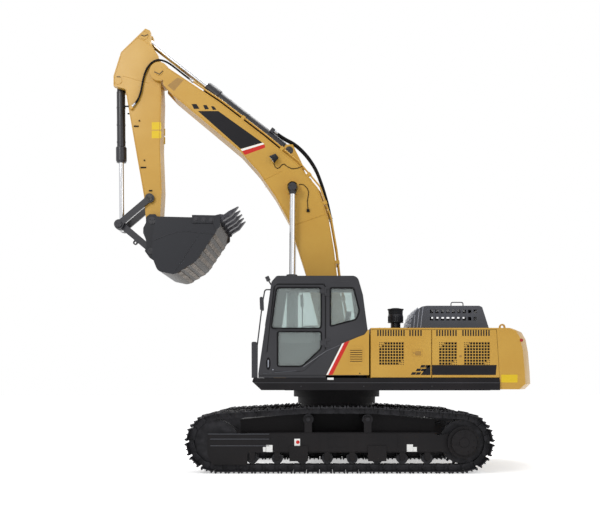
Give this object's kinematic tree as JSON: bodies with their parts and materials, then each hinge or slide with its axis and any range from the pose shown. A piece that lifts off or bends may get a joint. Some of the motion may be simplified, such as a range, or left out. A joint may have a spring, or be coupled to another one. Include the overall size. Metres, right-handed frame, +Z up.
{
  "type": "crawler excavator",
  "caption": "Crawler excavator with a one-piece boom, stick and bucket on hydraulic cylinders, a slewing house with cab, and two steel tracks.",
  "frame": {"origin": "on the slew axis, at ground level under the tracks", "axes": "+Z up; -X is the way the machine faces, so +X points to the counterweight; -Y is the machine's left, the cab side"},
  "size_m": [7.3298, 3.19, 7.735],
  "materials": {
    "yellow_paint": "satin",
    "black_paint": "satin",
    "dark_steel": "satin",
    "track_steel": "matte",
    "engine_iron": "matte",
    "cab_glass": "gloss",
    "seat_fabric": "matte",
    "interior_plastic": "matte",
    "rubber": "matte",
    "chrome_rod": "polished",
    "worn_steel": "matte"
  },
  "bodies": {
    "undercarriage": {"carbody": "black_paint", "slew_ring_lower": "dark_steel", "track_frame_left": "black_paint", "track_frame_right": "black_paint", "track_left": "track_steel", "track_right": "track_steel", "idlers": "dark_steel", "sprockets": "dark_steel", "track_rollers": "dark_steel", "travel_drives": "black_paint"},
    "upperstructure": {"main_frame": "black_paint", "slew_ring_upper": "dark_steel", "frame_pins": "dark_steel", "side_decks": "black_paint", "counterweight": "yellow_paint", "house_frames": "yellow_paint", "engine_block": "engine_iron", "radiator_pack": "black_paint", "battery_box": "black_paint", "hydraulic_pump": "black_paint", "hydraulic_tank": "yellow_paint", "fuel_tank": "yellow_paint", "tool_box": "yellow_paint", "valve_cover": "black_paint", "pre_cleaner": "black_paint", "cab_shell": "black_paint", "cab_glass": "cab_glass", "operator_seat": "seat_fabric", "control_consoles": "interior_plastic", "cab_mounts": "rubber", "handrails": "black_paint", "mirrors_and_lamps": "black_paint"},
    "cab_door": {"cab_door": "black_paint", "cab_door_glass": "cab_glass"},
    "left_front_door": {"left_front_door": "yellow_paint"},
    "left_rear_door": {"left_rear_door": "yellow_paint"},
    "right_pump_door": {"right_pump_door": "yellow_paint"},
    "engine_hood": {"engine_hood": "black_paint"},
    "tool_box_lid": {"tool_box_lid": "yellow_paint"},
    "boom": {"boom": "yellow_paint", "boom_pins": "dark_steel", "boom_pipes": "yellow_paint", "stick_cylinder_hoses": "rubber", "tip_hoses": "rubber"},
    "stick": {"stick": "yellow_paint", "stick_pins": "dark_steel"},
    "bucket": {"bucket": "worn_steel", "bucket_pins": "dark_steel", "bucket_teeth": "worn_steel"},
    "side_links": {"side_links": "black_paint", "link_pins": "dark_steel"},
    "h_link": {"h_link": "black_paint"},
    "boom_barrel_left": {"boom_cylinder_left_barrel": "black_paint"},
    "boom_rod_left": {"boom_cylinder_left_rod": "chrome_rod"},
    "boom_barrel_right": {"boom_cylinder_right_barrel": "black_paint"},
    "boom_rod_right": {"boom_cylinder_right_rod": "chrome_rod"},
    "stick_barrel": {"stick_cylinder_barrel": "black_paint"},
    "stick_rod": {"stick_cylinder_rod": "chrome_rod"},
    "bucket_barrel": {"bucket_cylinder_barrel": "black_paint"},
    "bucket_rod": {"bucket_cylinder_rod": "chrome_rod"}
  },
  "joints": [
    {"name": "slew", "type": "hinge", "parent": "undercarriage", "child": "upperstructure", "pos_m": [0, 0, 1.222], "axis": [0, 0, 1], "continuous": true},
    {"name": "boom_lift", "type": "hinge", "parent": "upperstructure", "child": "boom", "pos_m": [0.05, 0, 1.93], "axis": [0, 1, 0], "range_deg": [-92, 1.5]},
    {"name": "stick_swing", "type": "hinge", "parent": "boom", "child": "stick", "pos_m": [-3.131, 0, 6.951], "axis": [0, -1, 0], "range_deg": [-105, 9], "deforming": ["tip_hoses"]},
    {"name": "bucket_curl", "type": "hinge", "parent": "stick", "child": "bucket", "pos_m": [-3.257, 0, 4.327], "axis": [0, -1, 0], "range_deg": [-110, 0]},
    {"name": "boom_cylinder_left_tilt", "type": "hinge", "parent": "upperstructure", "child": "boom_barrel_left", "pos_m": [-0.8, -0.41, 1.47], "axis": [0, 1, 0], "range_deg": [-105.2, 1.72]},
    {"name": "boom_cylinder_left_stroke", "type": "slide", "parent": "boom_barrel_left", "child": "boom_rod_left", "axis": [0.0076, 0, 1], "range_m": [-1.3146, 0.0215]},
    {"name": "boom_cylinder_right_tilt", "type": "hinge", "parent": "upperstructure", "child": "boom_barrel_right", "pos_m": [-0.8, 0.41, 1.47], "axis": [0, 1, 0], "range_deg": [-105.2, 1.72]},
    {"name": "boom_cylinder_right_stroke", "type": "slide", "parent": "boom_barrel_right", "child": "boom_rod_right", "axis": [0.0076, 0, 1], "range_m": [-1.3146, 0.0215]},
    {"name": "stick_cylinder_tilt", "type": "hinge", "parent": "boom", "child": "stick_barrel", "pos_m": [-0.841, 0, 5.597], "axis": [0, -1, 0], "range_deg": [-4.31, 0.37], "deforming": ["stick_cylinder_hoses"]},
    {"name": "stick_cylinder_stroke", "type": "slide", "parent": "stick_barrel", "child": "stick_rod", "axis": [-0.7866, 0, 0.6174], "range_m": [-1.1314, 0.097]},
    {"name": "bucket_cylinder_tilt", "type": "hinge", "parent": "stick", "child": "bucket_barrel", "pos_m": [-3.864, 0, 6.811], "axis": [0, -1, 0], "range_deg": [0, 3.67]},
    {"name": "bucket_cylinder_stroke", "type": "slide", "parent": "bucket_barrel", "child": "bucket_rod", "axis": [0.0075, 0, -1], "range_m": [-1.0223, 0]},
    {"name": "side_link_swing", "type": "hinge", "parent": "stick", "child": "side_links", "pos_m": [-3.304, 0, 4.726], "axis": [0, -1, 0], "range_deg": [-92.57, 0]},
    {"name": "h_link_fold", "type": "hinge", "parent": "side_links", "child": "h_link", "pos_m": [-3.845, 0, 4.267], "axis": [0, -1, 0], "range_deg": [0, 41.58]},
    {"name": "cab_door_swing", "type": "hinge", "parent": "upperstructure", "child": "cab_door", "pos_m": [-0.205, -1.436, 2.54], "axis": [0, 0, -1], "range_deg": [-165, 0]},
    {"name": "left_front_door_swing", "type": "hinge", "parent": "upperstructure", "child": "left_front_door", "pos_m": [0.548, -1.436, 1.95], "axis": [0, 0, -1], "range_deg": [0, 110]},
    {"name": "left_rear_door_swing", "type": "hinge", "parent": "upperstructure", "child": "left_rear_door", "pos_m": [1.546, -1.436, 1.95], "axis": [0, 0, -1], "range_deg": [0, 110]},
    {"name": "right_pump_door_swing", "type": "hinge", "parent": "upperstructure", "child": "right_pump_door", "pos_m": [1.546, 1.436, 1.95], "axis": [0, 0, 1], "range_deg": [0, 110]},
    {"name": "engine_hood_lift", "type": "hinge", "parent": "upperstructure", "child": "engine_hood", "pos_m": [2.645, 0, 2.382], "axis": [0, 1, 0], "range_deg": [0, 60]},
    {"name": "tool_box_lid_lift", "type": "hinge", "parent": "upperstructure", "child": "tool_box_lid", "pos_m": [-0.716, 1.12, 1.97], "axis": [0, 1, 0], "range_deg": [0, 88]}
  ],
  "couplings": [
    {"joint": "boom_cylinder_left_tilt", "follows": "boom_lift", "ratio": 1.121},
    {"joint": "boom_cylinder_left_stroke", "follows": "boom_lift", "m_per_rad": 0.80261},
    {"joint": "boom_cylinder_right_tilt", "follows": "boom_lift", "ratio": 1.121},
    {"joint": "boom_cylinder_right_stroke", "follows": "boom_lift", "m_per_rad": 0.80261},
    {"joint": "stick_cylinder_tilt", "follows": "stick_swing", "ratio": 0.04024},
    {"joint": "stick_cylinder_stroke", "follows": "stick_swing", "m_per_rad": 0.60527},
    {"joint": "bucket_cylinder_tilt", "follows": "bucket_curl", "ratio": -0.03267},
    {"joint": "bucket_cylinder_stroke", "follows": "bucket_curl", "m_per_rad": 0.52204},
    {"joint": "side_link_swing", "follows": "bucket_curl", "ratio": 0.82502},
    {"joint": "h_link_fold", "follows": "bucket_curl", "ratio": -0.37051}
  ]
}
